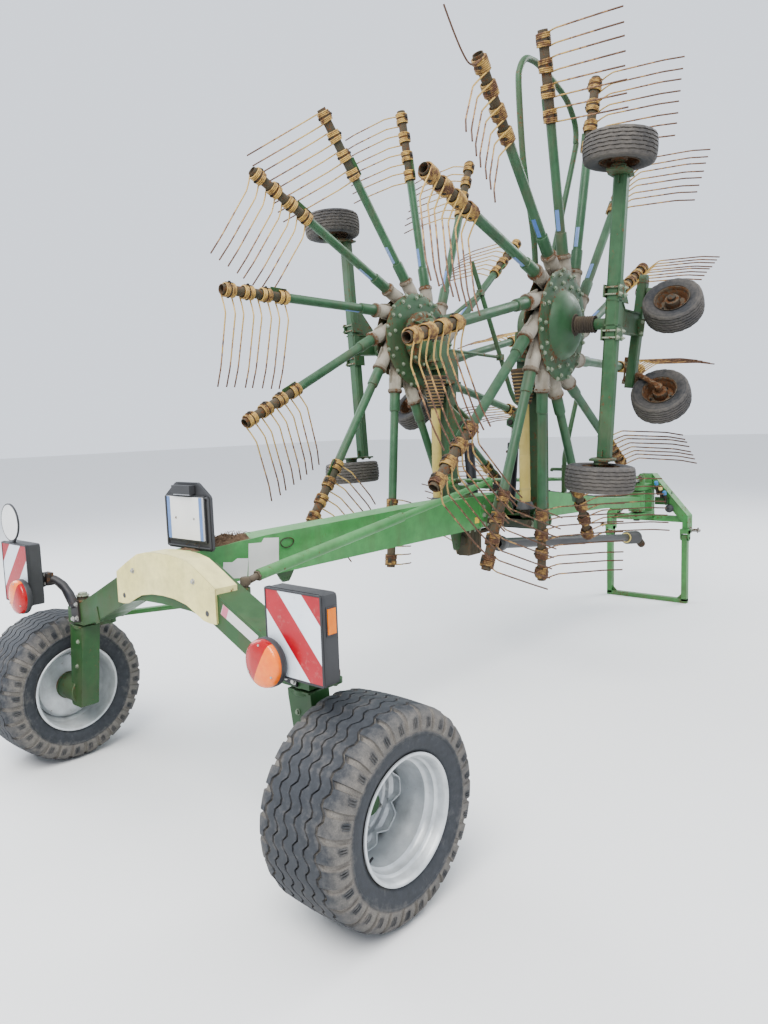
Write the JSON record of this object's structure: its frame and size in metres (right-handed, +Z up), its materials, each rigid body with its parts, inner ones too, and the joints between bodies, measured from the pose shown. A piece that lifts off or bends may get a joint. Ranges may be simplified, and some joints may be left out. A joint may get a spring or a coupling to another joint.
{
  "type": "trailed two-rotor rotary hay rake",
  "caption": "Trailed centre-delivery rotary hay rake with folding rotors, sprung tines, gauge wheels, steered rear axle and hitch headstock on its stand.",
  "frame": {"origin": "on the ground under the middle of the machine's bounding box", "axes": "+X to the right of travel, +Y forward to the tractor along the longest extent, +Z up"},
  "size_m": [2.76, 5.903, 4.039],
  "materials": {
    "tyre_rubber": "matte worn rubber",
    "rim_silver": "silver paint",
    "cream_cover": "satin paint",
    "black_plastic": "matte",
    "board_red_white": "reflective sheet",
    "lamp_lens": "gloss lens",
    "tine_steel": "worn yellow paint with rust",
    "guard_yellow": "faded plastic",
    "cylinder_black": "satin paint",
    "chrome_rod": "polished",
    "gear_casting": "dirty casting",
    "green_paint": "worn gloss paint"
  },
  "bodies": {
    "chassis": {"main_beam": "green_paint", "centre_frame": "green_paint", "rear_axle": "green_paint", "axle_hood": "cream_cover", "plate_board": "black_plastic", "warning_boards": "board_red_white", "tail_lamps": "lamp_lens", "board_brackets": "black_plastic", "gearbox": "gear_casting", "pto_shaft": "black_plastic"},
    "headstock": {"headstock": "green_paint"},
    "stand": {"stand": "green_paint"},
    "steer_lever": {"steer_lever": "green_paint"},
    "steer_rod": {"steer_rod": "green_paint"},
    "front_rod": {"front_rod": "green_paint"},
    "axle_lever": {"axle_lever": "green_paint"},
    "tie_rod": {"tie_rod": "green_paint"},
    "knuckle_right": {"knuckle_right": "green_paint"},
    "wheel_right": {"rim_right": "rim_silver", "tyre_right": "tyre_rubber"},
    "boom_right": {"boom_right": "green_paint", "shaft_right": "guard_yellow", "bow_right": "green_paint", "post_right": "green_paint"},
    "rotor_right": {"hub_right": "green_paint", "arms_right": "green_paint", "tines_right": "tine_steel"},
    "barrel_right": {"barrel_right": "cylinder_black"},
    "ram_right": {"ram_right": "chrome_rod"},
    "gauge_top_right": {"gauge_top_right": "tyre_rubber"},
    "castor_top_right": {"castor_top_right": "green_paint"},
    "trail_top_right": {"trail_top_right": "tyre_rubber"},
    "gauge_low_right": {"gauge_low_right": "tyre_rubber"},
    "castor_low_right": {"castor_low_right": "green_paint"},
    "trail_low_right": {"trail_low_right": "tyre_rubber"},
    "knuckle_left": {"knuckle_left": "green_paint"},
    "wheel_left": {"rim_left": "rim_silver", "tyre_left": "tyre_rubber"},
    "boom_left": {"boom_left": "green_paint", "shaft_left": "guard_yellow", "bow_left": "green_paint", "post_left": "green_paint"},
    "rotor_left": {"hub_left": "green_paint", "arms_left": "green_paint", "tines_left": "tine_steel"},
    "barrel_left": {"barrel_left": "cylinder_black"},
    "ram_left": {"ram_left": "chrome_rod"},
    "gauge_top_left": {"gauge_top_left": "tyre_rubber"},
    "castor_top_left": {"castor_top_left": "green_paint"},
    "trail_top_left": {"trail_top_left": "tyre_rubber"},
    "gauge_low_left": {"gauge_low_left": "tyre_rubber"},
    "castor_low_left": {"castor_low_left": "green_paint"},
    "trail_low_left": {"trail_low_left": "tyre_rubber"}
  },
  "joints": [
    {"name": "hitch_steer", "type": "hinge", "parent": "chassis", "child": "headstock", "pos_m": [0, 2.5715, 1], "axis": [0, 0, 1], "range_deg": [-40, 40]},
    {"name": "stand_fold", "type": "hinge", "parent": "headstock", "child": "stand", "pos_m": [0, 2.8115, 0.63], "axis": [1, 0, 0], "range_deg": [0, 88]},
    {"name": "steer_lever_turn", "type": "hinge", "parent": "chassis", "child": "steer_lever", "pos_m": [0, -0.2485, 1.36], "axis": [0, 0, 1], "range_deg": [-20, 20]},
    {"name": "steer_rod_turn", "type": "hinge", "parent": "steer_lever", "child": "steer_rod", "pos_m": [0.2, -0.2485, 1.39], "axis": [0, 0, 1], "range_deg": [-20, 20]},
    {"name": "front_rod_turn", "type": "hinge", "parent": "steer_lever", "child": "front_rod", "pos_m": [-0.11, -0.2485, 1.39], "axis": [0, 0, 1], "range_deg": [-20, 20]},
    {"name": "axle_lever_turn", "type": "hinge", "parent": "chassis", "child": "axle_lever", "pos_m": [0, -2.2985, 0.995], "axis": [0, 0, 1], "range_deg": [-20, 20]},
    {"name": "tie_rod_turn", "type": "hinge", "parent": "axle_lever", "child": "tie_rod", "pos_m": [0, -2.1485, 0.96], "axis": [0, 0, 1], "range_deg": [-20, 20]},
    {"name": "kingpin_right", "type": "hinge", "parent": "chassis", "child": "knuckle_right", "pos_m": [0.87, -2.5485, 0.85], "axis": [0, 0, 1], "range_deg": [-20, 20]},
    {"name": "wheel_spin_right", "type": "hinge", "parent": "knuckle_right", "child": "wheel_right", "pos_m": [1.182, -2.5485, 0.403], "axis": [1, 0, 0], "continuous": true},
    {"name": "fold_right", "type": "hinge", "parent": "chassis", "child": "boom_right", "pos_m": [0.385, 0.0865, 1.1], "axis": [0, 1, 0], "range_deg": [0, 86]},
    {"name": "rotor_spin_right", "type": "hinge", "parent": "boom_right", "child": "rotor_right", "pos_m": [0.574, -0.0125, 2.381], "axis": [0.9952, 0.0735, -0.065], "continuous": true},
    {"name": "barrel_turn_right", "type": "hinge", "parent": "chassis", "child": "barrel_right", "pos_m": [0.15, 0.0865, 1.2], "axis": [0, 1, 0], "range_deg": [0, 76.74]},
    {"name": "ram_slide_right", "type": "slide", "parent": "barrel_right", "child": "ram_right", "axis": [0.0859, 0, 0.9963], "range_m": [0, 0.3289]},
    {"name": "gauge_spin_top_right", "type": "hinge", "parent": "boom_right", "child": "gauge_top_right", "pos_m": [1.11893, -0.27206, 3.2618], "axis": [0.0648, 0.0048, 0.9979], "continuous": true},
    {"name": "castor_swivel_top_right", "type": "hinge", "parent": "boom_right", "child": "castor_top_right", "pos_m": [0.87383, 0.61229, 2.6135], "axis": [0.9891, 0.0731, -0.1275], "continuous": true},
    {"name": "trail_spin_top_right", "type": "hinge", "parent": "castor_top_right", "child": "trail_top_right", "pos_m": [1.10621, 0.55211, 2.4916], "axis": [-0.1382, 0.7579, -0.6375], "continuous": true},
    {"name": "gauge_spin_low_right", "type": "hinge", "parent": "boom_right", "child": "gauge_low_right", "pos_m": [1.00063, -0.2808, 1.43965], "axis": [0.0648, 0.0048, 0.9979], "continuous": true},
    {"name": "castor_swivel_low_right", "type": "hinge", "parent": "boom_right", "child": "castor_low_right", "pos_m": [0.80008, 0.60684, 2.03824], "axis": [0.9891, 0.0731, -0.1275], "continuous": true},
    {"name": "trail_spin_low_right", "type": "hinge", "parent": "castor_low_right", "child": "trail_low_right", "pos_m": [1.03246, 0.54666, 1.91633], "axis": [-0.1382, 0.7579, -0.6375], "continuous": true},
    {"name": "kingpin_left", "type": "hinge", "parent": "chassis", "child": "knuckle_left", "pos_m": [-0.87, -2.5485, 0.85], "axis": [0, 0, 1], "range_deg": [-20, 20]},
    {"name": "wheel_spin_left", "type": "hinge", "parent": "knuckle_left", "child": "wheel_left", "pos_m": [-1.182, -2.5485, 0.403], "axis": [1, 0, 0], "continuous": true},
    {"name": "fold_left", "type": "hinge", "parent": "chassis", "child": "boom_left", "pos_m": [-0.385, 0.0865, 1.1], "axis": [0, -1, 0], "range_deg": [0, 86]},
    {"name": "rotor_spin_left", "type": "hinge", "parent": "boom_left", "child": "rotor_left", "pos_m": [-0.574, -0.0125, 2.381], "axis": [-0.9952, 0.0735, -0.065], "continuous": true},
    {"name": "barrel_turn_left", "type": "hinge", "parent": "chassis", "child": "barrel_left", "pos_m": [-0.15, 0.0865, 1.2], "axis": [0, -1, 0], "range_deg": [0, 76.74]},
    {"name": "ram_slide_left", "type": "slide", "parent": "barrel_left", "child": "ram_left", "axis": [-0.0859, 0, 0.9963], "range_m": [0, 0.3289]},
    {"name": "gauge_spin_top_left", "type": "hinge", "parent": "boom_left", "child": "gauge_top_left", "pos_m": [-1.11893, -0.27206, 3.2618], "axis": [-0.0648, 0.0048, 0.9979], "continuous": true},
    {"name": "castor_swivel_top_left", "type": "hinge", "parent": "boom_left", "child": "castor_top_left", "pos_m": [-0.87383, 0.61229, 2.6135], "axis": [-0.9891, 0.0731, -0.1275], "continuous": true},
    {"name": "trail_spin_top_left", "type": "hinge", "parent": "castor_top_left", "child": "trail_top_left", "pos_m": [-1.10621, 0.55211, 2.4916], "axis": [0.1382, 0.7579, -0.6375], "continuous": true},
    {"name": "gauge_spin_low_left", "type": "hinge", "parent": "boom_left", "child": "gauge_low_left", "pos_m": [-1.00063, -0.2808, 1.43965], "axis": [-0.0648, 0.0048, 0.9979], "continuous": true},
    {"name": "castor_swivel_low_left", "type": "hinge", "parent": "boom_left", "child": "castor_low_left", "pos_m": [-0.80008, 0.60684, 2.03824], "axis": [-0.9891, 0.0731, -0.1275], "continuous": true},
    {"name": "trail_spin_low_left", "type": "hinge", "parent": "castor_low_left", "child": "trail_low_left", "pos_m": [-1.03246, 0.54666, 1.91633], "axis": [0.1382, 0.7579, -0.6375], "continuous": true}
  ],
  "couplings": [
    {"joint": "steer_lever_turn", "follows": "hitch_steer", "ratio": -0.5},
    {"joint": "steer_rod_turn", "follows": "hitch_steer", "ratio": 0.5},
    {"joint": "front_rod_turn", "follows": "hitch_steer", "ratio": 0.5},
    {"joint": "axle_lever_turn", "follows": "hitch_steer", "ratio": -0.5},
    {"joint": "tie_rod_turn", "follows": "hitch_steer", "ratio": 0.5},
    {"joint": "kingpin_right", "follows": "hitch_steer", "ratio": -0.5},
    {"joint": "barrel_turn_right", "follows": "fold_right", "ratio": 0.89226},
    {"joint": "ram_slide_right", "follows": "fold_right", "m_per_rad": 0.21846},
    {"joint": "kingpin_left", "follows": "hitch_steer", "ratio": -0.5},
    {"joint": "barrel_turn_left", "follows": "fold_left", "ratio": 0.89226},
    {"joint": "ram_slide_left", "follows": "fold_left", "m_per_rad": 0.21846}
  ]
}
